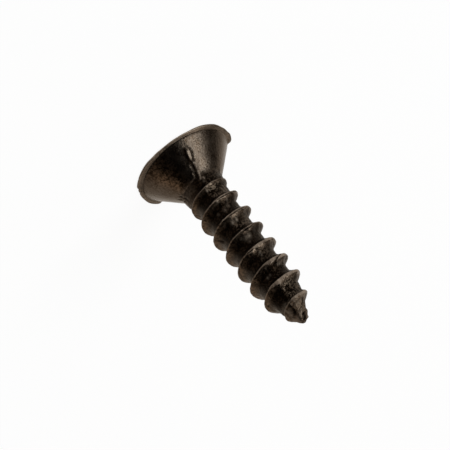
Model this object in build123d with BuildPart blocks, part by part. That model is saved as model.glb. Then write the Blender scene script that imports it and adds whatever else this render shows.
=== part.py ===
from build123d import *

import os
from math import cos, radians, sin, tan

# Self-tapping screw: countersunk head with a cross recess, coarse thread, gimlet point.
# It stands on its head: the flat of the head is z = 0 and the point is up, along +Z.
# Sizes are in millimetres and degrees.

overall_length = 15.8

# head
head_diameter = 7.42
rim_height = 0.15          # straight edge of the head
rim_lip = 0.28             # the countersink starts this far inside the rim
lip_fall = 0.06            # and this much further from the head's flat
head_angle = 80            # included angle of the countersink
neck_diameter = 3.14
neck_fillet = 0.45         # where the countersink runs into the neck

# cross recess, driver size 2
recess_width = 4.3
wing_thickness = 1.05
wing_depth = 1.75
wing_draft = 4             # slope of the wings' sides
wing_end_slope = 27        # slope of the wings' ends
pocket_diameter = 2.3      # round pocket between the wings
pocket_depth = 2.2
pocket_floor = 0.6         # diameter of the pocket's blunt end

# right-handed thread
thread_diameter = 3.5
core_diameter = 2.46
thread_pitch = 1.6
thread_turns = 8
thread_end = 15.45         # the ridge has sunk into the core here, just short of the tip
crest_land = 0.12
least_land = 0.05          # where the ridge is lowest
flank_angle = 33           # of each flank, from square to the axis
root_easing = 0.1          # the ridge's feet spread by this much where they meet the core
ridge_depth = 0.15         # the ridge's base lies this far inside the core
run_in = 2.5               # the crest grows from the neck to full size over this length
start_heading = 163        # degrees about +Z at which the ridge leaves the neck

# from neck to core, and the gimlet point
neck_end = 2.6
core_start = 3.8           # the neck has thinned to the core here
core_taper = 3.0           # the core narrows to the tip over this length
core_fullness = 1.6        # 1 is a straight cone, 2 a parabola
crest_taper = 3.95
crest_fullness = 2.0
tip_diameter = 0.12

spans_per_turn = 4
sections_per_span = 4
thread_start = thread_end - thread_turns * thread_pitch


def share(z, start, end):
    """How far z has come from start to end, 0 to 1."""
    return min(max((z - start) / (end - start), 0), 1)


def narrowed(diameter, z, taper, fullness):
    """A radius that runs full and then narrows to the tip over the length of taper."""
    tip = tip_diameter / 2
    lost = share(z, overall_length - taper, overall_length) ** fullness
    return tip + (diameter / 2 - tip) * (1 - lost)


def core_radius(z):
    """Radius of the shank between the turns: neck, core, point."""
    neck = neck_diameter / 2
    thinned = neck + (core_diameter / 2 - neck) * share(z, neck_end, core_start)
    return min(thinned, narrowed(core_diameter, z, core_taper, core_fullness))


def crest_radius(z):
    """Radius of the thread's crest, which starts and ends just under the core's skin."""
    neck = neck_diameter / 2
    grown = neck + (thread_diameter / 2 - neck) * share(z, neck_end, neck_end + run_in)
    full = min(grown, narrowed(thread_diameter, z, crest_taper, crest_fullness))
    sunk = 0.05
    ends = min(share(z, thread_start, thread_start + 0.3), share(z, thread_end, thread_end - 0.4))
    return core_radius(z) - sunk + (full - core_radius(z) + sunk) * ends


def ridge_section(z):
    """The thread ridge cut by the half-plane through the axis where its middle is at z."""
    crest = crest_radius(z)
    core = core_radius(z)
    base = max(core - ridge_depth, 0.3 * core)
    land = max(least_land, crest_land * share(crest - core, 0, 0.2))
    foot = land / 2 + root_easing + (crest - base) * tan(radians(flank_angle))
    heading = radians(start_heading + 360 * (z - thread_start) / thread_pitch)
    outward = (cos(heading), sin(heading), 0)
    half_plane = Plane(origin=(0, 0, z), x_dir=outward, z_dir=(sin(heading), -cos(heading), 0))
    with BuildSketch(half_plane) as section:
        with BuildLine():
            Polyline((base, -foot), (crest, -land / 2), (crest, land / 2), (base, foot), close=True)
        make_face()
    return section.sketch


# cross recess: four drafted wings whose ends slope inwards, and a round pocket between them
with BuildPart() as recess:
    with BuildSketch():
        Rectangle(recess_width, wing_thickness)
        Rectangle(wing_thickness, recess_width)
    extrude(amount=wing_depth, taper=wing_draft)
    with BuildSketch(Plane.XZ):
        with BuildLine():
            floor_reach = recess_width / 2 - wing_depth * tan(radians(wing_end_slope))
            Polyline((0, 0), (recess_width / 2, 0), (floor_reach, wing_depth), (0, wing_depth), close=True)
        make_face()
    revolve(axis=Axis.Z, mode=Mode.INTERSECT)
    with BuildSketch(Plane.XZ):
        with BuildLine():
            Polyline((0, 0), (pocket_diameter / 2, 0), (pocket_floor / 2, pocket_depth), (0, pocket_depth), close=True)
        make_face()
    revolve(axis=Axis.Z)

with BuildPart() as screw:
    # the blank: rim, countersink, neck, core and ogive point, turned in one profile
    with BuildSketch(Plane.XZ):
        with BuildLine():
            rim = head_diameter / 2
            cone_top = rim_height + lip_fall
            cone_length = (rim - rim_lip - neck_diameter / 2) / tan(radians(head_angle / 2))
            taper_start = overall_length - core_taper
            belly = overall_length - 0.75 * core_taper
            cone_start = overall_length - core_taper / 2
            blank = Polyline(
                (0, overall_length),
                (0, 0),
                (rim, 0),
                (rim, rim_height),
                (rim - rim_lip, cone_top),
                (neck_diameter / 2, cone_top + cone_length),
                (neck_diameter / 2, neck_end),
                (core_diameter / 2, core_start),
                (core_diameter / 2, taper_start),
            )
            ogive = ThreePointArc(blank @ 1, (core_radius(belly), belly), (core_radius(cone_start), cone_start))
            Polyline(ogive @ 1, (tip_diameter / 2, overall_length), blank @ 0)
        make_face()
    revolve(axis=Axis.Z)
    countersink = screw.faces().filter_by(GeomType.CONE).sort_by(SortBy.AREA)[-1]
    fillet(countersink.edges().filter_by(GeomType.CIRCLE).sort_by(SortBy.RADIUS)[0], neck_fillet)

    # the thread, raised on the core in quarter turns
    span = thread_pitch / spans_per_turn
    for number in range(thread_turns * spans_per_turn):
        foot_of_span = thread_start + number * span
        stations = [foot_of_span + span * step / sections_per_span for step in range(sections_per_span + 1)]
        loft([ridge_section(z) for z in stations])

    add(recess, mode=Mode.SUBTRACT)

os.makedirs("parts", exist_ok=True)
screw.part.label = "screw"
export_step(screw.part, "parts/screw.step")
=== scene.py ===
import math

import bmesh
import bpy
from mathutils import Matrix, Vector, noise


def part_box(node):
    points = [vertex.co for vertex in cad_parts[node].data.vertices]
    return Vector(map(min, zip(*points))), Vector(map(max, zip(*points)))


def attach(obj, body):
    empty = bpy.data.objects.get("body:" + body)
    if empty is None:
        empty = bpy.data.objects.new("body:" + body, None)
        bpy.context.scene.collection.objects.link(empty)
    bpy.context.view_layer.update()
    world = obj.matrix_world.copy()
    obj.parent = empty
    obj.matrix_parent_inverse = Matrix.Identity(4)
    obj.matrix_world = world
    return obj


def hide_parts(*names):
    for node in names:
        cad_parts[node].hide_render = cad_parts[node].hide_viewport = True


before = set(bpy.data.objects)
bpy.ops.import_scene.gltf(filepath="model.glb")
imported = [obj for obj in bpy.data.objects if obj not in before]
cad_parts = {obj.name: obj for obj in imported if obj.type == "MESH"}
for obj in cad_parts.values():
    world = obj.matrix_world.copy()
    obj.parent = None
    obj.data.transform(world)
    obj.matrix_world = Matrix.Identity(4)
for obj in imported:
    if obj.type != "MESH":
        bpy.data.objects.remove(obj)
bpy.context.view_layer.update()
print("frame loaded, nodes:", len(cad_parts))

# The screw is shaped in millimetres on its own axis, with the flat of the head at 0, and scaled once
# at the end. A place round it is its side, in degrees from the front, growing towards +X.
millimetre = 0.001
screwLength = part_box("screw")[1].z / millimetre
front = -math.pi / 2


def share(value, start, end):
    return min(max((value - start) / (end - start), 0.0), 1.0)


def ease(value, start, end):
    part = share(value, start, end)
    return part * part * (3 - 2 * part)


def window(value, start, end, soft):
    return ease(value, start - soft, start + soft) * (1 - ease(value, end - soft, end + soft))


def hump(value, reach):
    part = max(1 - (value / reach) ** 2, 0.0)
    return part * part


def smoothMax(first, second, blend):
    near = max(blend - abs(first - second), 0.0) / blend
    return max(first, second) + near * near * blend / 4


# reads a row of (place, value) stops at a place, smoothly
def onPath(place, stops):
    for (first, low), (second, high) in zip(stops, stops[1:]):
        if place <= second:
            return low + (high - low) * ease(place, first, second)
    return stops[-1][1]


def sideOf(point):
    angle = math.atan2(point.y, point.x) - front
    return math.degrees(math.atan2(math.sin(angle), math.cos(angle)))


def polar(radius, side, z):
    heading = math.radians(side) + front
    return Vector((radius * math.cos(heading), radius * math.sin(heading), z))


def grain(point, size, seed):
    return noise.noise(point / size + Vector((seed, seed * 2.3, -seed)))


# Everything uneven: how much, over what size, and a seed.
uneven = {
    "crestLine": ((0.035, 0.9, 3), (0.02, 0.35, 5)),
    "crestHeight": ((0.03, 0.8, 1), (0.015, 0.3, 2)),
    "crestRubAndSheen": ((0.9, 0.45, 17), (0.7, 0.12, 18)),
    "landWidth": ((0.015, 0.4, 7),),
    "flatWidth": ((0.35, 0.5, 11),),
    "flatRub": ((0.7, 0.3, 19), (0.5, 0.12, 20)),
    "lapDepth": ((0.6, 0.3, 13),),
    "lapEdgeRub": ((0.7, 0.25, 23),),
    "lowerRub": ((0.8, 0.3, 71),),
    "glintSpread": ((1.5, 0.35, 73),),
    "pointScrape": ((0.5, 0.2, 61),),
    "rolledRidges": ((0.017, 1, 31),),
    "lumps": ((0.018, 0.35, 33),),
    "neckShade": ((0.35, 0.3, 57),),
    "cone": ((0.003, 0.2, 51), (0.006, 0.7, 53)),
    "rimRub": ((0.6, 0.4, 41),),
    "rimEdge": ((0.012, 0.5, 21),),
    "lineWander": ((0.015, 0.15, 4),),
}

# Everything that differs round the screw: from one side to another, how softly, and how much.
patches = {
    "frontShift": ((-55, 68, 20, 1),),
    "leftShift": ((-130, -72, 14, 1),),
    "tallCrests": ((-130, -60, 25, 0.05),),
    "lowCrests": ((70, 140, 20, 0.06),),
    "bareNeck": ((-35, 50, 15, 1),),
    "stoutCore": ((65, 120, 20, 0.035),),
    # crests rubbed brighter on the side the key lamp lights: wear, and partly a painted highlight
    "crestRubAndSheen": ((-88, 2, 16, 0.7),),
    "unrubbedStart": ((-85, -28, 8, 0.7),),
    # painted glints in the roots, on the side the key lamp lights
    "glintsAhead": ((-74, -8, 12, 1),),
    "pointScrape": ((20, 110, 15, 0.25),),
    # less painted shade on the neck between the first sides, a little more between the second
    "lighterNeck": ((-50, -28, 6, 0.27), (-25, -15, 4, -0.08)),
    # painted shade at the foot of the cone, and low on the cone on one side
    "coneFootShade": ((-50, 70, 15, 0.5),),
    "lowConeShade": ((28, 60, 12, 0.4),),
    # painted glints on the neck, on the side the key lamp lights
    "neckGlints": ((-60, -6, 10, 0.9),),
    "rimRub": (
        (-110, 26, 14, 0.2),
        (-42, 24, 8, 0.5),
        (80, 130, 10, 0.2),
        (-14, 8, 6, 0.3),
        (-74, -46, 8, -0.25),
    ),
    # painted shade where the cone meets the rim, on the sides that face the front
    "rimShade": ((-45, 60, 15, 0.9),),
    "rimInside": ((-66, 84, 8, 1),),
    "rimInsideRub": ((-38, 20, 10, 1),),
    "rimRubReach": ((-125, -70, 6, 0.1),),
    "rimBrokenFoot": ((-27, 12, 9, 0.17),),
    # where the rim was spread, chipped or nicked, and how far in
    "rimNicks": (
        (-143, -112, 1.2, 0.25),
        (127, 144, 1.2, 0.25),
        (28, 74, 7, -0.13),
        (-66, -38, 7, -0.075),
        (104, 124, 5, -0.06),
        (-110, -94, 4, -0.08),
        (70, 75, 1.5, 0.06),
        (79, 82, 1, 0.035),
        (55, 57, 0.8, 0.03),
    ),
}


def ragged(point, kind):
    return sum(amount * grain(point, size, seed) for amount, size, seed in uneven[kind])


def patched(side, kind):
    return sum(amount * window(side, start, end, soft) for start, end, soft, amount in patches[kind])


def meshOf(bm, name):
    bmesh.ops.recalc_face_normals(bm, faces=bm.faces)
    mesh = bpy.data.meshes.new(name)
    bm.to_mesh(mesh)
    bm.free()
    return mesh


def linked(name, data):
    item = bpy.data.objects.new(name, data)
    bpy.context.scene.collection.objects.link(item)
    return item


head = {
    "radius": 3.745,
    "flatRings": (0, 0.6, 1.2, 1.8, 2.4, 2.9, 3.3),
    "edgeRound": 0.09,         # between the flat and the rim
    "edgeSteps": 5,
    "rimRings": ((0, 0.125), (0.008, 0.147)),       # how far in from the radius, and height
    "rimBevel": 0.03,          # how far in the rim ends
    "rimHeight": 0.16,
    "rimLip": 0.29,            # the cone starts this far in from the radius
    "lipRings": (0.17, 0.33, 0.5, 0.67, 0.83, 0.93),
    "coneFoot": 0.21,          # height of the foot of the cone
    "coneAngle": 80,
    "neckEasing": 0.2,
    "topOfNeck": 2.5,          # the shank takes over here
    "rowSpacing": 0.04,
    "columns": 288,
    "wedges": 8,
    "merge": 0.0005,
}

shank = {
    "pitch": 1.6,
    "turns": 10,
    "crestRadius": 1.775,
    "coreRadius": 1.28,
    "neckRadius": 1.57,
    "crestPhase": 1.525,       # height of the crests at the front, less whole pitches
    "landBack": 0.05,          # flat of the crest on the head's side of its line
    "landAhead": 0.05,         # and on the point's side
    "flankSpread": 0.74,       # height gained for each millimetre down the flank
    "rootEasing": 0.3,
    "backEasing": 0.6,         # share of it on the head's side
    "neckEnd": 2.5,            # the crests grow from here
    "runIn": 2.4,              # over this height
    "coreFrom": 2.9,           # the neck thins to the core from here
    "coreStart": 3.8,          # to here
    "coreTaper": 3.0,
    "coreFullness": 1.6,
    "crestTaper": 3.95,
    "crestFullness": 2.0,
    "tipRadius": 0.08,
    "threadStart": (2.3, 3.0),           # heights between which the ridge rises from the neck
    "bareNeck": (1.95, 2.3),             # and below which none shows
    "tallCrests": (7, 10, 13.2, 14),     # taller on the left from and to these heights
    "lowCrests": (13.2, 13.8),           # lower on the right beyond these
    "grainRadius": 1.7,
    "stripRadius": 1.5,
    "stepsPerTurn": 160,
    "rowsBack": (0.035, 0.07, 0.11, 0.16, 0.22, 0.29, 0.37, 0.46, 0.56, 0.67),
    "rowsAhead": (0.035, 0.065, 0.095, 0.125, 0.155, 0.185, 0.215, 0.25,
                  0.285, 0.325, 0.37, 0.42, 0.48, 0.55, 0.63, 0.71),
    "merge": 0.002,
    "cutMerge": 0.004,
    "cutBelow": 2.53,
    "tipCut": 0.05,
    "tipRings": ((0.8, 0.025), (0.7, 0.008), (0.6, 0)),      # narrowing, and distance from the end
}

# Each turn's crest where it was rolled flat: the turn, the sides it is flat between, how softly it
# starts, how far ahead the flat runs, and the depth of the lap line along it.
flattened = (
    (1, -60, 20, 10, 0.04, 0.0),
    (2, -78, -14, 10, 0.16, 0.055),
    (3, -58, -6, 10, 0.15, 0.05),
    (4, -42, -6, 12, 0.16, 0.09),
    (5, -70, -6, 12, 0.15, 0.0),
    (5, -5, 9, 5, 0.17, 0.06),
    (6, -72, -9, 13, 0.22, 0.0),
    (7, -80, 4, 14, 0.16, 0.0),
    (7, -12, 16, 8, 0.2, 0.0),
    (8, -80, 12, 14, 0.13, 0.0),
)

# How far ahead of an even pitch the thread runs, by height.
leads = ((2.2, 0.72), (3.1, 0.27), (4.7, 0.11), (6.3, 0.05), (7.9, 0.02), (9.5, 0.0), (16, 0.0))
# How far each crest wanders from that, at the front and on the left.
frontShift = (0.0, 0.08, 0.06, 0.08, 0.1, 0.09, 0.07, 0.03, -0.01, -0.07)
leftShift = (0.0, -0.17, -0.1, 0.0, -0.02, 0.02, -0.05, -0.08, -0.13, 0.0)
# How strong the painted glints are ahead of each crest at the front; where they are weak the painted
# shade reaches higher.
glintsAhead = (0.3, 1.0, 0.25, 0.9, 0.12, 0.4, 0.05, 0.85, 0.8, 0.0)

wear = {
    "coreAbove": 0.02,         # heights up the ridge are read from this far above the core
    "leastRidge": 0.05,
    "leastRub": 0.3,
    "crestRubAndSheen": 0.65,
    "crestRubBack": 0.015,     # the rubbed line lies this far back from the crest
    "crestRubWidth": 0.062,
    "flatFrom": 0.2,           # how flat a crest counts as flattened
    "flatRub": 0.7,
    "flatFade": (-12, -3),     # it is less rubbed, with less painted highlight, from one side to the other
    "flatFaded": 0.8,
    "lapPlace": 0.48,          # place across the flat
    "lapWidth": 0.055,
    "lapFrom": 0.01,
    "lapShadeDepth": 0.05,
    "lapShadeWidth": 0.08,
    "lapEdgePlace": 0.88,
    "lapEdgeWidth": 0.05,
    "lapEdgeRub": 0.4,
    "rubHeights": (0.75, 1),             # share of the ridge's height over which it goes from unrubbed to rubbed
    "backHeights": (0.5, 1.0),
    "aheadHeights": (0.3, 0.95),
    "raisedShade": (0.05, 0.3),      # glint strength between which the painted shade reaches higher up the ridge
    "raisedShadeRise": 0.3,
    "raisedShadeTop": 0.6,
    # painted shade on the neck, back from the first crest
    "startShade": (0.12, 0.24),           # distances back from the first crest
    "neckShade": (2.2, 2.7),
    "litSide": (5, 30, 110, 150),      # the side towards the side lamp gets less painted shade, and on the shank a lighter painted tone
    "litLessShade": 0.35,
    "litLessShadeTo": (3.0, 3.6),
}


def lead(nominal):
    return onPath(nominal, leads)


def unled(z):
    nominal = z
    for _ in range(3):
        nominal = z - lead(nominal)
    return nominal


def coneAt(z):
    h = head
    return h["radius"] - h["rimLip"] - (z - h["coneFoot"]) * math.tan(math.radians(h["coneAngle"] / 2))


def narrowed(radius, z, taper, fullness):
    least = shank["tipRadius"]
    lost = share(z, screwLength - taper, screwLength) ** fullness
    return least + (radius - least) * (1 - lost)


def coreAt(z):
    s = shank
    if z < s["coreStart"]:
        thinning = ease(z, s["coreFrom"], s["coreStart"])
        thinned = s["neckRadius"] + (s["coreRadius"] - s["neckRadius"]) * thinning
        return smoothMax(thinned, coneAt(z), head["neckEasing"])
    return narrowed(s["coreRadius"], z, s["coreTaper"], s["coreFullness"])


def crestAt(z):
    s = shank
    growth = share(z, s["neckEnd"], s["neckEnd"] + s["runIn"])
    grown = s["neckRadius"] + (s["crestRadius"] - s["neckRadius"]) * growth
    return min(grown, narrowed(s["crestRadius"], z, s["crestTaper"], s["crestFullness"]))


# the side towards the side lamp, where painted light is added and painted shade lessened
def litSide(side):
    start, full, fade, end = wear["litSide"]
    return ease(side, start, full) * (1 - ease(side, fade, end))


# painted shade on the neck, under the head
def neckShade(z, side, radius):
    rise = ragged(polar(radius, side, z), "neckShade") - patched(side, "lighterNeck")
    return ease(z + rise, *wear["neckShade"])


# the turn whose crest is nearest, the crest's height, how far past it the place is, and where its
# unevenness is read
def nearestCrest(z, side):
    s = shank
    nominal = unled(z)
    first = s["crestPhase"] + s["pitch"] * side / 360
    turn = min(max(round((nominal - first) / s["pitch"]), 0), s["turns"] - 1)
    centre = first + s["pitch"] * turn
    spot = polar(s["grainRadius"], side, centre)
    centre += frontShift[turn] * patched(side, "frontShift")
    centre += leftShift[turn] * patched(side, "leftShift")
    return turn, centre, nominal - centre + ragged(spot, "crestLine"), spot


def ridgeRadius(centre, side, core, spot):
    s = shank
    started = ease(centre, *s["threadStart"])
    crest = core + max(crestAt(centre + lead(centre)) - core, 0) * started
    crest += started * ragged(spot, "crestHeight")
    tallStart, tallFull, tallFade, tallEnd = s["tallCrests"]
    tall = share(centre, tallStart, tallFull) * (1 - share(centre, tallFade, tallEnd))
    crest += patched(side, "tallCrests") * tall
    crest -= patched(side, "lowCrests") * share(centre, *s["lowCrests"])
    # no trace of a turn below the first one at the front of the neck
    return crest - s["rootEasing"] * patched(side, "bareNeck") * (1 - ease(centre, *s["bareNeck"]))


# how far ahead the crest's flat runs, the depth of its lap line, and how flat it was rolled
def rolledFlat(turn, side, spot):
    least = shank["landAhead"]
    ahead = least + ragged(spot, "landWidth")
    lap = flat = 0.0
    for number, start, end, soft, reach, depth in flattened:
        if number == turn:
            part = window(side, start, end, soft)
            ahead += (reach - least) * part * (1 + ragged(spot, "flatWidth"))
            lap += depth * part * (1 + ragged(spot, "lapDepth"))
            flat += part
    return ahead, lap, flat


def rubbedBareAndSheen(turn, side, offset, ahead, lap, flat, onLand, spot):
    w = wear
    # crests are rubbed a little all round and much more on the side the key lamp lights, partly a
    # painted highlight
    facing = w["leastRub"] + patched(side, "crestRubAndSheen")
    wornAndSheen = facing * (w["crestRubAndSheen"] + ragged(spot, "crestRubAndSheen"))
    wornAndSheen *= hump(offset + w["crestRubBack"], w["crestRubWidth"])
    if flat > w["flatFrom"]:
        edge = hump(offset - ahead * w["lapEdgePlace"], w["lapEdgeWidth"])
        edge *= w["lapEdgeRub"] + ragged(spot, "lapEdgeRub")
        land = onLand * (w["flatRub"] + ragged(spot, "flatRub"))
        land *= 1 - w["flatFaded"] * ease(side, *w["flatFade"])
        wornAndSheen = max(wornAndSheen, flat * (edge if lap > w["lapFrom"] else land))
    if turn == 1:
        wornAndSheen *= 1 - patched(side, "unrubbedStart")
    return min(max(wornAndSheen, 0.0), 1.0)


# painted shade: the roots are darkened, and higher up the ridge behind a crest and where there are few
# painted glints
def shadeOnFlank(turn, side, offset, height):
    w = wear
    if offset < 0:
        return 1 - ease(height, *w["backHeights"])
    low, high = w["aheadHeights"]
    lit = litSide(side)
    rise = w["raisedShadeRise"] * ((1 - share(glintsAhead[turn], *w["raisedShade"])) * (1 - lit) - lit)
    return 1 - ease(height, low + rise, high + w["raisedShadeTop"] * rise)


# a place on the shank: its radius, how bare it is, how much painted shade lies on it, and how many
# painted glints
def shankShape(z, side):
    s, w = shank, wear
    turn, centre, offset, spot = nearestCrest(z, side)
    core = coreAt(z)
    crest = ridgeRadius(centre, side, core, spot)
    ahead, lap, flat = rolledFlat(turn, side, spot)
    down = max(offset - ahead, -s["landBack"] - offset, 0.0)
    fromLap = offset - ahead * w["lapPlace"]
    radius = crest - down / s["flankSpread"] - lap * hump(fromLap, w["lapWidth"])
    easing = s["rootEasing"] * (1 if offset > 0 else s["backEasing"])
    radius = smoothMax(radius, core + patched(side, "stoutCore"), easing)
    height = share(radius, core + w["coreAbove"], max(crest, core + w["leastRidge"]))
    wornAndSheen = rubbedBareAndSheen(turn, side, offset, ahead, lap, flat, down == 0, spot)
    wornAndSheen *= ease(height, *w["rubHeights"])
    # painted shade along the lap line
    lapShade = share(lap, 0, w["lapShadeDepth"]) * hump(fromLap, w["lapShadeWidth"])
    darkening = max(shadeOnFlank(turn, side, offset, height), lapShade)
    if turn == 1:
        darkening = max(darkening, ease(-offset, *w["startShade"]) * neckShade(z, side, radius))
    # less painted shade on the side towards the side lamp
    darkening *= 1 - w["litLessShade"] * litSide(side) * (1 - ease(z, *w["litLessShadeTo"]))
    # painted glints in the roots on the side the key lamp lights
    rubAndGlint = patched(side, "glintsAhead") * glintsAhead[turn if offset > 0 else max(turn - 1, 0)]
    return radius, wornAndSheen, darkening, rubAndGlint


def makeShank(bm):
    s = shank
    steps = s["stepsPerTurn"] * (s["turns"] + 1)
    half = s["pitch"] / 2
    rows = [-half] + [-x for x in reversed(s["rowsBack"])] + [0.0] + list(s["rowsAhead"]) + [half]
    bmesh.ops.create_grid(bm, x_segments=steps, y_segments=len(rows) - 1, size=0.5)
    # the flat strip is one pitch wide, and is wound round the axis from a turn below the first crest
    for vert in bm.verts:
        along = round((vert.co.x + 0.5) * steps) / s["stepsPerTurn"] - 1
        across = rows[round((vert.co.y + 0.5) * (len(rows) - 1))]
        nominal = s["crestPhase"] + s["pitch"] * along + across
        vert.co = polar(s["stripRadius"], 360 * along, nominal + lead(nominal))
    bmesh.ops.remove_doubles(bm, verts=bm.verts, dist=s["merge"])
    for z, top in ((s["cutBelow"], False), (screwLength - s["tipCut"], True)):
        bmesh.ops.bisect_plane(bm, geom=bm.verts[:] + bm.edges[:] + bm.faces[:], dist=s["cutMerge"],
                               plane_co=(0, 0, z), plane_no=(0, 0, 1),
                               clear_inner=not top, clear_outer=top)
    for vert in bm.verts:
        side = sideOf(vert.co)
        vert.co = polar(shankShape(vert.co.z, side)[0], side, vert.co.z)
    print("shank", len(bm.faces), "faces")


def openLoop(bm, top):
    return [e for e in bm.edges if e.is_boundary and (e.verts[0].co.z > screwLength / 2) == top]


def closeTip(bm):
    loop = openLoop(bm, True)
    for size, below in shank["tipRings"]:
        made = bmesh.ops.extrude_edge_only(bm, edges=loop)["geom"]
        verts = [g for g in made if isinstance(g, bmesh.types.BMVert)]
        loop = [g for g in made if isinstance(g, bmesh.types.BMEdge) and g.is_boundary]
        for vert in verts:
            vert.co = Vector((vert.co.x * size, vert.co.y * size, screwLength - below))
    bmesh.ops.pointmerge(bm, verts=verts, merge_co=(0, 0, screwLength))


def headProfile():
    h = head
    radius, edge, foot, top = h["radius"], h["edgeRound"], h["coneFoot"], h["topOfNeck"]
    points = [(reach, 0) for reach in h["flatRings"]]
    for step in range(h["edgeSteps"] + 1):
        angle = math.radians(90 * step / h["edgeSteps"])
        points.append((radius - edge + edge * math.sin(angle), edge - edge * math.cos(angle)))
    points += [(radius - inset, z) for inset, z in h["rimRings"]]
    for part in (0,) + h["lipRings"]:
        inset = h["rimBevel"] + (h["rimLip"] - h["rimBevel"]) * part
        points.append((radius - inset, h["rimHeight"] + (foot - h["rimHeight"]) * part))
    rows = round((top - foot) / h["rowSpacing"])
    heights = [foot + (top - foot) * row / rows for row in range(rows + 1)]
    return points + [(coreAt(z), z) for z in heights]


def makeHead():
    h = head
    bm = bmesh.new()
    last = None
    for radius, z in headProfile():
        vert = bm.verts.new((radius, 0, z))
        if last:
            bm.edges.new((last, vert))
        last = vert
    # one wedge is spun and the rest are copies of it
    bmesh.ops.spin(bm, geom=bm.verts[:] + bm.edges[:], cent=(0, 0, 0), axis=(0, 0, 1),
                   angle=math.tau / h["wedges"], steps=h["columns"] // h["wedges"])
    wedge = bm.verts[:] + bm.edges[:] + bm.faces[:]
    for number in range(1, h["wedges"]):
        made = bmesh.ops.duplicate(bm, geom=wedge)["geom"]
        verts = [g for g in made if isinstance(g, bmesh.types.BMVert)]
        bmesh.ops.rotate(bm, verts=verts, cent=(0, 0, 0),
                         matrix=Matrix.Rotation(math.tau * number / h["wedges"], 3, "Z"))
    bmesh.ops.remove_doubles(bm, verts=bm.verts, dist=h["merge"])
    print("head", len(bm.faces), "faces")
    return meshOf(bm, "head")


recess = {
    "span": 4.3,
    "thickness": 1.05,
    "wingDepth": 1.75,
    "draft": 4,                # slope of the wings' sides
    "endSlope": 27,            # slope of their ends
    "endSides": 64,
    "pocketTop": 1.15,
    "pocketFloor": 0.3,
    "pocketDepth": 2.2,
    "pocketSides": 48,
    "outside": 0.1,            # the cutter starts this far outside the head
    "spare": 0.1,              # and the wings run this far past their depth before they are cut to it
}


# two meshes joined, cut or kept where they overlap
def combined(first, second, operation):
    target, tool = linked("target", first), linked("tool", second)
    modifier = target.modifiers.new("cut", "BOOLEAN")
    modifier.operation = operation
    modifier.solver = "EXACT"
    modifier.object = tool
    bpy.context.view_layer.update()
    made = bpy.data.meshes.new_from_object(target.evaluated_get(bpy.context.evaluated_depsgraph_get()))
    for item, mesh in ((target, first), (tool, second)):
        bpy.data.objects.remove(item)
        bpy.data.meshes.remove(mesh)
    return made


def taperedCone(wide, narrow, depth, segments, name):
    outside = recess["outside"]
    bm = bmesh.new()
    slope = (wide - narrow) / depth
    bmesh.ops.create_cone(bm, cap_ends=True, segments=segments, radius1=wide + slope * outside,
                          radius2=narrow, depth=depth + outside)
    bmesh.ops.translate(bm, verts=bm.verts, vec=(0, 0, (depth - outside) / 2))
    return meshOf(bm, name)


def wing(turn):
    r = recess
    bm = bmesh.new()
    bmesh.ops.create_cube(bm, size=1)
    for vert in bm.verts:
        z = r["wingDepth"] + r["spare"] if vert.co.z > 0 else -r["outside"]
        halfWidth = r["thickness"] / 2 - z * math.tan(math.radians(r["draft"]))
        vert.co = Vector((math.copysign(r["span"], vert.co.x), math.copysign(halfWidth, vert.co.y), z))
    bmesh.ops.rotate(bm, verts=bm.verts, cent=(0, 0, 0),
                     matrix=Matrix.Rotation(math.radians(turn), 3, "Z"))
    return meshOf(bm, "wing")


def recessCutter():
    r = recess
    narrow = r["span"] / 2 - r["wingDepth"] * math.tan(math.radians(r["endSlope"]))
    ends = taperedCone(r["span"] / 2, narrow, r["wingDepth"], r["endSides"], "ends")
    cross = combined(combined(wing(0), wing(90), "UNION"), ends, "INTERSECT")
    pocket = taperedCone(r["pocketTop"], r["pocketFloor"], r["pocketDepth"], r["pocketSides"], "pocket")
    return combined(cross, pocket, "UNION")
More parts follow.
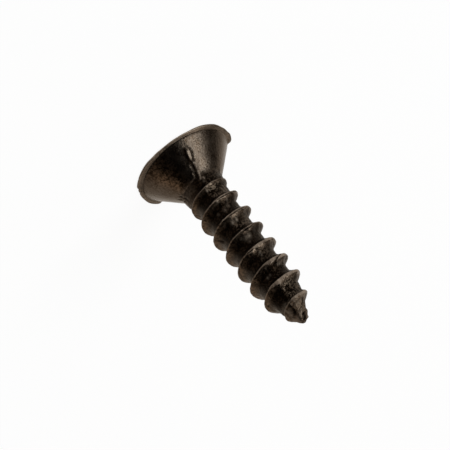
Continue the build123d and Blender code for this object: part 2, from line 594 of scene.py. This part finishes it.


# Lines raised, sunk or rubbed along the surface: their path of (height, side), ends, rise and width,
# and how brightly they are rubbed, or how much darker they are painted if less than nothing, which is
# painted shade in the cracks, creases and grooves.
lines = (
    # the gouge under the head: its upper edge, the burr beside it, the burr's bright slope, and the
    # painted shade under it
    (((0.6, -13.6), (0.77, -17.2), (0.89, -18.7), (1.09, -18.8), (1.31, -17.6), (1.57, -15.9)),
     0.66, 1.6, -0.035, 0.05, -1.0),
    (((0.81, -13.4), (0.94, -13.2), (1.11, -12.7), (1.28, -12.1), (1.45, -11.4)),
     0.86, 1.46, 0.045, 0.09, 0.0),
    (((0.81, -15.4), (0.94, -15.3), (1.11, -14.9), (1.28, -14.0), (1.45, -12.9)),
     0.9, 1.42, 0.0, 0.045, 0.5),
    (((0.66, -12.4), (0.91, -11.1), (1.08, -9.4), (1.24, -9.3), (1.5, -9.9)),
     0.7, 1.6, -0.008, 0.12, -1.4),
    # the seam that runs on from it to the neck
    (((1.45, -10.6), (1.84, -10.9), (2.06, -9.9), (2.3, -9), (2.5, -7)), 1.5, 2.55, -0.008, 0.08, -1.1),
    (((1.45, -12.4), (1.84, -12.6), (2.1, -12.2)), 1.46, 2.1, 0.0, 0.1, -0.65),
    (((1.5, -13.4), (1.7, -13.8)), 1.5, 1.7, 0.02, 0.04, 0.6),
    (((2.1, -13.2), (2.28, -13.6), (2.42, -12.3), (2.57, -11.2), (2.7, -9)),
     2.14, 2.7, 0.04, 0.065, 1.0),
    (((2.6, -17.5), (2.8, -18.6)), 2.62, 2.8, 0.05, 0.045, 1.4),
    (((1.55, -5.2), (1.79, -4.6), (2.06, -4.8)), 1.6, 2.08, 0.01, 0.07, 0.2),
    (((2.1, 0.5), (2.25, -0.5), (2.45, 4)), 2.08, 2.4, 0.02, 0.05, 0.2),
    (((2.1, -9), (2.25, -6.5), (2.5, -3.5), (2.8, -1.5), (3.2, -2)), 2.15, 3.1, -0.03, 0.15, -1.3),
    # creases where the cone runs into the neck, painted darker in the creases as shade
    (((2.3, 62), (2.95, 53)), 2.3, 3.0, 0.04, 0.045, 0.3),
    (((2.26, 68.5), (3.0, 59)), 2.25, 3.05, -0.08, 0.05, -1.2),
    (((2.2, 75), (3.03, 65)), 2.2, 3.05, 0.045, 0.045, 0.35),
    (((2.16, 82), (2.95, 72.5)), 2.15, 3.0, -0.08, 0.05, -1.2),
    (((2.15, 89), (2.85, 80)), 2.15, 2.9, 0.025, 0.045, 0.15),
    # cracks in the thread, painted dark as shade
    (((6.86, 64), (7.32, 58)), 6.92, 7.28, -0.09, 0.055, -1.0),
    (((10.8, -58), (10.92, -52), (11.1, -42), (11.23, -36), (11.36, -32), (11.5, -30)),
     10.82, 11.5, -0.12, 0.07, -1.5),
    (((11.15, -62), (11.5, -42)), 11.22, 11.5, 0.0, 0.22, 0.3),
    (((14.4, 6), (14.49, 18), (14.57, 32)), 14.4, 14.57, -0.02, 0.05, -0.9),
    # the split point: the slot, the ridge before it and the prong beyond it
    (((14.98, -70), (15.16, -59), (15.37, -55), (15.56, -46), (15.64, -38)),
     15.02, 15.66, -0.16, 0.125, 0.0),
    (((14.98, -70), (15.16, -59), (15.37, -54), (15.56, -45), (15.64, -38)),
     15.06, 15.6, 0.0, 0.18, -1.6),
    (((14.8, -100), (15.7, -92)), 14.9, 15.52, 0.12, 0.1, 0.5),
    # the last turn of the thread, worn away on one side
    (((13.5, 92), (14.1, 92)), 13.45, 14.1, -0.07, 0.35, 0.0),
    (((14.45, 92), (15.0, 88)), 14.45, 15.0, 0.08, 0.3, 0.1),
    (((13.7, -80), (14.4, -64)), 13.75, 14.35, 0.0, 0.3, 0.5),
    (((14.35, -62), (14.95, -42)), 14.4, 14.9, 0.0, 0.19, -1.0),
    # where the thread starts
    (((3.4, 90), (4.3, 90)), 3.4, 4.3, -0.05, 0.4, 0.0),
    (((2.5, 90), (2.95, 90)), 2.5, 2.95, -0.03, 0.4, 0.0),
    (((3.5, -92), (4.05, -92)), 3.6, 4.05, 0.09, 0.3, 0.0),
)

# Small bumps and pits: height up the screw, side, size, how far they stand out, and rubbing, or how much
# darker they are painted if less than nothing, which in the pits is painted shade.
spots = (
    (2.95, -12.5, 0.1, 0.03, 0.3),
    (2.31, -30, 0.16, 0.02, 0.2),
    (1.72, 2, 0.14, 0.01, 0.12),
    (8.03, -22, 0.17, -0.12, -1.3),
    (3.67, -4, 0.08, 0.03, 0.8),
    (4.94, -6.5, 0.12, 0.08, 0.8),
    (3.6, -42, 0.2, 0.0, -0.7),
    (3.85, -42, 0.2, 0.0, -0.7),
    (5.07, -34, 0.1, 0.02, 0.3),
    (5.43, -29, 0.18, 0.04, 0.25),
    (5.63, -13, 0.17, 0.05, 0.25),
    (5.6, 12, 0.13, 0.04, 0.15),
    (6.45, 7, 0.1, 0.045, 0.4),
    (6.8, -22, 0.13, 0.05, 0.6),
    (6.85, -6, 0.15, 0.05, 0.6),
    (8.45, -22, 0.22, 0.02, 0.28),
    (8.45, -8, 0.2, 0.03, 0.25),
    (8.35, 1, 0.12, 0.02, 0.15),
    (8.76, -14, 0.12, 0.04, 0.25),
    (10.0, -17, 0.09, 0.02, 0.3),
    (10.17, -18, 0.1, 0.02, 0.3),
    (11.4, -2, 0.1, 0.04, 0.25),
    (11.85, -1, 0.1, 0.04, 0.2),
    (11.9, 10, 0.11, 0.05, 0.3),
    (12.9, 3, 0.15, 0.0, -0.45),
    (13.1, -8, 0.1, 0.0, -0.6),
    (13.02, 3, 0.14, 0.0, -0.6),
    (13.25, 72, 0.12, -0.05, -0.8),
    (14.5, 10, 0.2, -0.01, -0.8),
    (14.78, 4, 0.26, -0.01, -0.8),
    (15.0, 20, 0.28, -0.01, -0.85),
    (14.92, -66, 0.11, 0.04, 0.9),
    (14.98, -46, 0.11, 0.04, 0.9),
    (15.1, -30, 0.12, 0.04, 0.9),
    (15.25, -12, 0.12, 0.04, 0.8),
)

lineFade = 0.06                # how softly a line ends
lineMargin = 0.2               # how far past its ends it is looked for
lineReach = 3                  # and to how many widths beside it
spotReach = 2                  # a spot is looked for to this many sizes away


# how far the marks push a place out, how far they rub it bare, and how much darker they paint it, mostly
# as shade in hollows
def marks(z, side, radius):
    out = bare = darkening = 0.0
    found = []
    for path, start, end, rise, width, shine in lines:
        if start - lineMargin < z < end + lineMargin:
            across = radius * math.radians(side - onPath(z, path)) + ragged(polar(1, 0, z), "lineWander")
            if abs(across) < lineReach * width:
                part = window(z, start, end, lineFade) * math.exp(-(across / width) ** 2)
                found.append((part, rise, shine))
    for height, place, size, rise, shine in spots:
        if abs(z - height) < spotReach * size:
            away = math.hypot(z - height, radius * math.radians(side - place))
            found.append((math.exp(-(away / size) ** 2 * 2), rise, shine))
    for part, rise, shine in found:
        out += rise * part
        bare += max(shine, 0) * part
        darkening -= min(shine, 0) * part
    return out, bare, min(darkening, 1)


# The skin of a place: how bare (partly a painted highlight on the crests), how much painted shade, how
# many painted glints, how rough, and how much rust and painted light on the side lamp's side.
skinLayers = ("wornAndSheen", "shadeAndDirt", "glints", "rough", "rustAndLit")
roughLayer = {"most": 0.75, "from": 0.1, "full": 0.6}

shankSkin = {
    "bottom": 2.49,            # just below the top of the head's neck
    "point": (13.9, 14.5),               # heights over which the scraped point starts
    "pointScrape": 0.1,
    "pointLessShade": (14.2, 14.8),
    "pointShadeLost": 0.6,
    "pointBlotch": 0.5,        # how much less rough the point is where marks darken it
    "ridgeLength": 0.3,        # ridges left by rolling, along the turn and across it
    "ridgeHeight": 0.11,
    "unshadedLumps": 0.35,        # share of the lumps outside the painted shade, and where there are no painted glints
    "glintlessLumps": 0.6,
    "lowest": (0.8, 1.25),     # distance below the axis as it lies
    "lowestEnd": (110, 150),
    "lowestRub": 0.11,
    "lowestFrom": (2.6, 3.4),
    "leastStain": 0.3,
    "neckLitTone": 0.4,          # share of the lit side's painted light that reaches the neck
    "neckLitToneTo": (2.9, 3.4),
    "lowerRoughness": 0.5,
    "roughMarksBelow": 3,
}


# rougher where the painted shade and dark marks lie
def roughFromDark(darkening):
    return roughLayer["most"] * ease(darkening, roughLayer["from"], roughLayer["full"])


def onShank(co, side, radius):
    s = shankSkin
    wornAndSheen, shadeAndDirt, glints = shankShape(co.z, side)[1:]
    out, bare, darkening = marks(co.z, side, radius)
    lumpy = s["unshadedLumps"] + (1 - s["unshadedLumps"]) * shadeAndDirt
    lumpy *= s["glintlessLumps"] + (1 - s["glintlessLumps"]) * glints
    along = Vector((radius * math.radians(side) / s["ridgeLength"], co.z / s["ridgeHeight"], 0))
    out += lumpy * (ragged(along, "rolledRidges") + ragged(co, "lumps"))
    glints = max(glints * (1 + ragged(co, "glintSpread")), 0)
    point = ease(co.z, *s["point"])
    scraped = point * (s["pointScrape"] + ragged(co, "pointScrape") + patched(side, "pointScrape"))
    lowest = ease(radius * math.sin(math.radians(side)), *s["lowest"])
    lowest *= 1 - ease(side, *s["lowestEnd"])
    rubAndGlint = s["lowestRub"] * lowest * (1 + ragged(co, "lowerRub")) * ease(co.z, *s["lowestFrom"])
    wornAndSheen = min(max(wornAndSheen, scraped, rubAndGlint) + bare, 1) * (1 - darkening)
    shadeAndDirt = max(shadeAndDirt * (1 - s["pointShadeLost"] * ease(co.z, *s["pointLessShade"])), darkening)
    # painted light: the side towards the side lamp is lighter and warmer; the point and a little
    # everywhere are rusty
    litTone = litSide(side) * (s["neckLitTone"] + (1 - s["neckLitTone"]) * ease(co.z, *s["neckLitToneTo"]))
    rough = max(point * (1 - s["pointBlotch"] * darkening), roughFromDark(shadeAndDirt))
    rough = max(rough, s["lowerRoughness"] * litSide(side))
    if co.z < s["roughMarksBelow"]:
        rough = max(rough, min(bare, 1))
    return out, (wornAndSheen, shadeAndDirt, glints, rough, max(litTone, s["leastStain"], point))


rim = {
    "bottom": 0.005,
    "top": 0.26,
    "inside": 3.4,
    "rub": 0.3,
    "rubUneven": 0.9,
    "rubAndGlintFrom": (3.46, 3.52),   # radius at which the rubbed edge starts
    "insideFrom": (3.57, 3.7),           # it is darker inside this
    "insideDark": 0.7,
    "insideDarkening": 0.4,
    "shadeLine": 3.455,         # painted shade lies where the cone meets the rim
    "shadeWidth": 0.05,
    "nickFrom": (3.44, 3.6),
    "nickTop": 0.25,
    "brokenFoot": 0.1,         # height of the bite out of the rim's foot
    "grainRadius": 3.7,
}


def onRim(co, side, radius):
    r = rim
    inner = (1 - ease(radius, *r["insideFrom"])) * patched(side, "rimInside")
    inner *= 1 - patched(side, "rimInsideRub")
    start, full = (place - patched(side, "rimRubReach") for place in r["rubAndGlintFrom"])
    wornAndSheen = ease(radius, start, full) * (r["rub"] + patched(side, "rimRub"))
    wornAndSheen *= (r["rubUneven"] + ragged(co, "rimRub")) * (1 - r["insideDark"] * inner)
    line = (1 - ease(abs(radius - r["shadeLine"]), 0.0, r["shadeWidth"])) * patched(side, "rimShade")
    return wornAndSheen, max(line, r["insideDarkening"] * inner), 0, 0, 0


def rimWear(side, z):
    inwards = patched(side, "rimNicks") - ragged(polar(rim["grainRadius"], side, 0), "rimEdge")
    return inwards + patched(side, "rimBrokenFoot") * (1 - share(z, 0.0, rim["brokenFoot"]))


cone = {
    "bottom": 0.2,
    "inside": 1.5,
    "footShade": (0.2, 0.42),
    "lowShade": (0.3, 1.2),
    "roughMarksAbove": 2.1,
    "litTone": (5, 22, 38, 65),            # sides between which painted light makes the skin lighter and warmer
    "litToneFade": (2.0, 2.5),
    "litToneFaded": 0.6,
    "rubAndGlintFrom": (2.0, 2.3),
    "glintFade": (2.3, 2.5),
    "glintFaded": 0.6,
}


def onCone(co, side, radius):
    c = cone
    out, bare, darkening = marks(co.z, side, radius)
    neck = neckShade(co.z, side, radius) * (1 - wear["litLessShade"] * litSide(side))
    # painted shade at the foot of the cone and low on one side
    foot = patched(side, "coneFootShade") * (1 - ease(co.z, *c["footShade"]))
    low = patched(side, "lowConeShade") * (1 - ease(co.z, *c["lowShade"]))
    shadeAndDirt = max(neck, foot, low, darkening)
    rough = roughFromDark(shadeAndDirt)
    if co.z > c["roughMarksAbove"]:
        rough = max(rough, min(bare, 1))
    # painted light: a lighter, warmer tone on the side towards the side lamp
    start, full, fade, end = c["litTone"]
    rustAndLit = ease(side, start, full) * (1 - ease(side, fade, end))
    rustAndLit *= 1 - c["litToneFaded"] * ease(co.z, *c["litToneFade"])
    # painted glints on the neck, on the side the key lamp lights
    glints = patched(side, "neckGlints") * ease(co.z, *c["rubAndGlintFrom"])
    glints *= 1 - c["glintFaded"] * ease(co.z, *c["glintFade"])
    return out + ragged(co, "cone"), (min(bare, 1) * (1 - darkening), shadeAndDirt, glints, rough, rustAndLit)


tip = {
    "lean": 0.06,              # towards +X
    "leanFrom": (14.2, 15.6),
    "blunted": 0.08,
    "bluntFrom": (15.4, 15.8),
}


# pushes the surface in and out along its normals, and notes its skin
def weather(bm):
    layers = [bm.verts.layers.float.new(name) for name in skinLayers]
    bm.normal_update()
    moves = []
    for vert in bm.verts:
        co = vert.co
        radius, side = math.hypot(co.x, co.y), sideOf(co)
        out, skin = 0.0, (0, 0, 0, 0, 0)
        if co.z > shankSkin["bottom"]:
            out, skin = onShank(co, side, radius)
        elif rim["bottom"] < co.z < rim["top"] and radius > rim["inside"]:
            skin = onRim(co, side, radius)
        elif co.z > cone["bottom"] and radius > cone["inside"]:
            out, skin = onCone(co, side, radius)
        for layer, value in zip(layers, skin):
            vert[layer] = value
        move = vert.normal * out
        nickFrom, nickFull = rim["nickFrom"]
        if radius > nickFrom and co.z < rim["nickTop"]:
            away = Vector((co.x, co.y, 0)).normalized()
            move -= away * rimWear(side, co.z) * ease(radius, nickFrom, nickFull)
        move.x += tip["lean"] * ease(co.z, *tip["leanFrom"])
        move.z -= tip["blunted"] * ease(co.z, *tip["bluntFrom"])
        moves.append((vert, move))
    for vert, move in moves:
        vert.co += move
    print("weathered", len(moves), "vertices")


def buildScrew():
    headMesh = combined(makeHead(), recessCutter(), "DIFFERENCE")
    print("recess cut")
    bm = bmesh.new()
    makeShank(bm)
    closeTip(bm)
    bm.from_mesh(headMesh)
    bpy.data.meshes.remove(headMesh)
    bmesh.ops.bridge_loops(bm, edges=openLoop(bm, False))
    bmesh.ops.recalc_face_normals(bm, faces=bm.faces)
    weather(bm)
    bmesh.ops.scale(bm, vec=(millimetre,) * 3, verts=bm.verts)
    openEdges = sum(1 for edge in bm.edges if not edge.is_manifold)
    triangles = sum(len(face.verts) - 2 for face in bm.faces)
    print("open edges", openEdges, "triangles", triangles)
    mesh = meshOf(bm, "screwBody")
    mesh.shade_smooth()
    return linked("screwBody", mesh)


# a number or colour in a node tree that sums and products can be written with
class Value:
    def __init__(self, graph, socket):
        self.graph, self.socket = graph, socket

    def __add__(self, other):
        return self.graph.maths("ADD", self, other)

    def __radd__(self, other):
        return self.graph.maths("ADD", other, self)

    def __sub__(self, other):
        return self.graph.maths("SUBTRACT", self, other)

    def __rsub__(self, other):
        return self.graph.maths("SUBTRACT", other, self)

    def __mul__(self, other):
        return self.graph.maths("MULTIPLY", self, other)

    def __rmul__(self, other):
        return self.graph.maths("MULTIPLY", other, self)


class Graph:
    def __init__(self, tree):
        self.tree = tree

    def add(self, kind, settings, sockets):
        node = self.tree.nodes.new(kind)
        for name, value in settings.items():
            setattr(node, name, value)
        for name, value in sockets.items():
            self.plug(node.inputs[name], value)
        return node

    def plug(self, socket, value):
        if isinstance(value, Value):
            self.tree.links.new(value.socket, socket)
        elif isinstance(value, bpy.types.NodeSocket):
            self.tree.links.new(value, socket)
        else:
            socket.default_value = value

    def maths(self, kind, first, second):
        node = self.add("ShaderNodeMath", {"operation": kind}, {0: first, 1: second})
        return Value(self, node.outputs[0])

    # 0 below low, 1 above high
    def band(self, value, low, high):
        node = self.add("ShaderNodeMapRange", {"interpolation_type": "SMOOTHSTEP"},
                        {"Value": value, "From Min": low, "From Max": high})
        return Value(self, node.outputs[0])

    def blend(self, factor, first, second):
        first, second = (c + (1,) if isinstance(c, tuple) else c for c in (first, second))
        node = self.add("ShaderNodeMix", {"data_type": "RGBA"}, {0: factor, 6: first, 7: second})
        return Value(self, node.outputs[2])

    def mixed(self, factor, first, second):
        return self.add("ShaderNodeMixShader", {}, {0: factor, 1: first, 2: second}).outputs[0]

    def grain(self, size, detail):
        place = self.tree.nodes.get("place") or self.add("ShaderNodeTexCoord", {"name": "place"}, {})
        node = self.add("ShaderNodeTexNoise", {}, {"Vector": place.outputs["Object"],
                                                   "Scale": 1 / (size * millimetre), "Detail": detail})
        return Value(self, node.outputs["Fac"])

    def own(self, name):
        return Value(self, self.add("ShaderNodeAttribute", {"attribute_name": name}, {}).outputs["Fac"])


steel = {
    "pale": (0.060, 0.0465, 0.036),
    "brown": (0.018, 0.0105, 0.0055),
    "rustyLitTone": (0.085, 0.054, 0.034),       # in place of pale where it is rusty, and as painted light on the side towards the side lamp
    # painted shade: the colours of the roots, neck and other hollows, dark with paler specks
    "paintedShadeSpecks": (0.0125, 0.0075, 0.0045),
    "rubAndGlint": (0.064, 0.047, 0.033),     # in place of that where glints are painted, on the side the key lamp lights
    "paintedShadeDark": (0.003, 0.0017, 0.0009),
    "bare": (0.26, 0.205, 0.158),
    "edgeTint": (0.95, 0.87, 0.79, 1),
    "fine": (0.09, 3),         # sizes of the grains, and their detail
    "patchy": (0.6, 2),
    "specks": (0.13, 2),
    "mottle": (0.17, 2),
    "lumps": (0.22, 2),
    "speckBand": (0.51, 0.61),
    "glintSpecks": 0.07,
    "skinBand": (0.25, 0.7),
    "fineShare": 0.7,
    "patchyShare": 0.3,
    "rustAndLitMottle": 1.6,
    "leastMottle": 0.2,
    "bareCover": 0.4,
    "roughness": 0.185,
    "patchyRoughness": 0.2,
    "wornRoughness": 0.2,
    "roughLayer": 0.28,
    "bump": 0.015,
    "fineBump": 0.6,
    "darkBump": 1.4,
}


def steelFinish():
    s = steel
    material = bpy.data.materials.new("darkenedSteel")
    material.use_nodes = True
    graph = Graph(material.node_tree)
    shader = material.node_tree.nodes["Principled BSDF"]
    wornAndSheen, shadeAndDirt, glints, rough, rustAndLit = (graph.own(name) for name in skinLayers)
    fine, patchy = graph.grain(*s["fine"]), graph.grain(*s["patchy"])
    specks = graph.band(graph.grain(*s["specks"]) + glints * s["glintSpecks"], *s["speckBand"])
    mottle = (graph.grain(*s["mottle"]) - 0.5) * (rustAndLit * s["rustAndLitMottle"] + s["leastMottle"])
    clean = graph.band(fine * s["fineShare"] + patchy * s["patchyShare"] + mottle, *s["skinBand"])
    skin = graph.blend(clean, s["brown"], graph.blend(rustAndLit, s["pale"], s["rustyLitTone"]))
    # painted shade in the hollows, speckled, paler where painted glints lie
    root = graph.blend(specks, s["paintedShadeDark"], graph.blend(glints, s["paintedShadeSpecks"], s["rubAndGlint"]))
    dark = graph.blend(shadeAndDirt, skin, root)
    graph.plug(shader.inputs["Base Color"], graph.blend(wornAndSheen * (fine + s["bareCover"]), dark, s["bare"]))
    roughness = patchy * s["patchyRoughness"] + s["roughness"]
    roughness = roughness + wornAndSheen * s["wornRoughness"] + rough * s["roughLayer"]
    graph.plug(shader.inputs["Roughness"], roughness)
    shader.inputs["Metallic"].default_value = 1
    shader.inputs["Specular Tint"].default_value = s["edgeTint"]
    relief = (fine * s["fineBump"] + graph.grain(*s["lumps"])) * (shadeAndDirt * s["darkBump"] + 1)
    bump = graph.add("ShaderNodeBump", {}, {"Strength": 1, "Distance": s["bump"] * millimetre,
                                            "Height": relief})
    graph.plug(shader.inputs["Normal"], bump.outputs[0])
    print("steel finished")
    return material


# Soft boxes a quarter of a metre from the middle of the screw: azimuth and elevation in degrees, width
# and height in metres.
lampDistance = 0.25
lamps = {
    "keyBox": {"from": (-65, 47), "size": (0.14, 0.102), "radiance": 9.3, "colour": (0.95, 1.02, 1.05)},
    "keyHalo": {"from": (-74, 34), "size": (0.18, 0.15), "radiance": 0.45, "colour": (1, 0.95, 0.88)},
    "sideBox": {"from": (108, 29.5), "size": (0.23, 0.18), "radiance": 1.18, "colour": (1, 0.92, 0.82)},
    "highBox": {"from": (-125, 46), "size": (0.13, 0.15), "radiance": 1.6, "colour": (1, 0.96, 0.9)},
    "backBox": {"from": (172, 46), "size": (0.19, 0.16), "radiance": 1.6, "colour": (1, 0.94, 0.87)},
}


def towards(azimuth, elevation):
    a, e = math.radians(azimuth), math.radians(elevation)
    return Vector((math.cos(e) * math.sin(a), -math.cos(e) * math.cos(a), math.sin(e))).normalized()


def addLamps():
    middle = Vector((0, 0, screwLength * millimetre / 2))
    for name, settings in lamps.items():
        data = bpy.data.lights.new(name, "AREA")
        data.color = settings["colour"]
        data.shape = "RECTANGLE"
        data.size, data.size_y = settings["size"]
        data.energy = settings["radiance"] * math.pi * settings["size"][0] * settings["size"][1]
        lamp = linked(name, data)
        direction = towards(*settings["from"])
        lamp.location = direction * lampDistance + middle
        lamp.rotation_mode = "QUATERNION"
        lamp.rotation_quaternion = direction.to_track_quat("Z", "Y")
    print("lamps", len(lamps))


floorSettings = {"size": 1.5, "drop": 0.00002, "colour": (0.9, 0.9, 0.9, 1), "glow": 0.93}


def addFloor():
    f = floorSettings
    bm = bmesh.new()
    bmesh.ops.create_grid(bm, x_segments=1, y_segments=1, size=f["size"])
    floor = linked("floor", meshOf(bm, "floor"))
    floor.location.z = -f["drop"]
    material = bpy.data.materials.new("paleFloor")
    material.use_nodes = True
    graph = Graph(material.node_tree)
    graph.tree.nodes.clear()
    path = graph.add("ShaderNodeLightPath", {}, {}).outputs
    seen = Value(graph, path["Is Camera Ray"]) + path["Is Glossy Ray"] + path["Is Transmission Ray"]
    matt = graph.add("ShaderNodeBsdfDiffuse", {}, {"Color": f["colour"]}).outputs[0]
    glow = graph.add("ShaderNodeEmission", {}, {}).outputs[0]
    clear = graph.add("ShaderNodeBsdfTransparent", {}, {}).outputs[0]
    # from underneath it shows the head standing on it
    under = graph.add("ShaderNodeNewGeometry", {}, {}).outputs["Backfacing"]
    surface = graph.mixed(under, graph.mixed(seen * f["glow"], matt, glow), clear)
    graph.add("ShaderNodeOutputMaterial", {}, {"Surface": surface})
    floor.data.materials.append(material)
    print("floor laid")


# The room is bright low down and dark from a little way up.
room = {"colour": (1, 0.95, 0.89, 1), "fade": (0.087, 0.345), "faded": 0.98}


def addWorld():
    world = bpy.data.worlds.new("studio")
    bpy.context.scene.world = world
    world.use_nodes = True
    graph = Graph(world.node_tree)
    direction = graph.add("ShaderNodeTexCoord", {}, {}).outputs["Generated"]
    height = Value(graph, graph.add("ShaderNodeSeparateXYZ", {}, {"Vector": direction}).outputs["Z"])
    background = world.node_tree.nodes["Background"]
    background.inputs["Color"].default_value = room["colour"]
    graph.plug(background.inputs["Strength"], 1 - graph.band(height, *room["fade"]) * room["faded"])
    print("room lit")


cameraSettings = {
    "elevation": 28.95,
    "roll": 142.56,
    "distance": 0.503,
    "lens": 582.7,
    "sensor": 36,
    "clip": (0.01, 5),
    "aim": (0.334, 0, 5.873),  # in millimetres
}


def addCamera():
    c = cameraSettings
    data = bpy.data.cameras.new("camera")
    data.lens = c["lens"]
    data.sensor_width = c["sensor"]
    data.clip_start, data.clip_end = c["clip"]
    camera = linked("camera", data)
    elevation = math.radians(c["elevation"])
    back = Vector((0, -math.cos(elevation), math.sin(elevation)))
    camera.location = Vector(c["aim"]) * millimetre + back * c["distance"]
    camera.rotation_mode = "QUATERNION"
    rolled = Matrix.Rotation(math.radians(c["roll"]), 3, "Z").to_quaternion()
    camera.rotation_quaternion = back.to_track_quat("Z", "Y") @ rolled
    bpy.context.scene.camera = camera
    print("camera set")


bpy.context.scene.view_settings.view_transform = "Standard"
addCamera()
addFloor()
addWorld()
addLamps()
screw = buildScrew()
screw.data.materials.append(steelFinish())
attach(screw, "root")
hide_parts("screw")

bpy.context.view_layer.update()
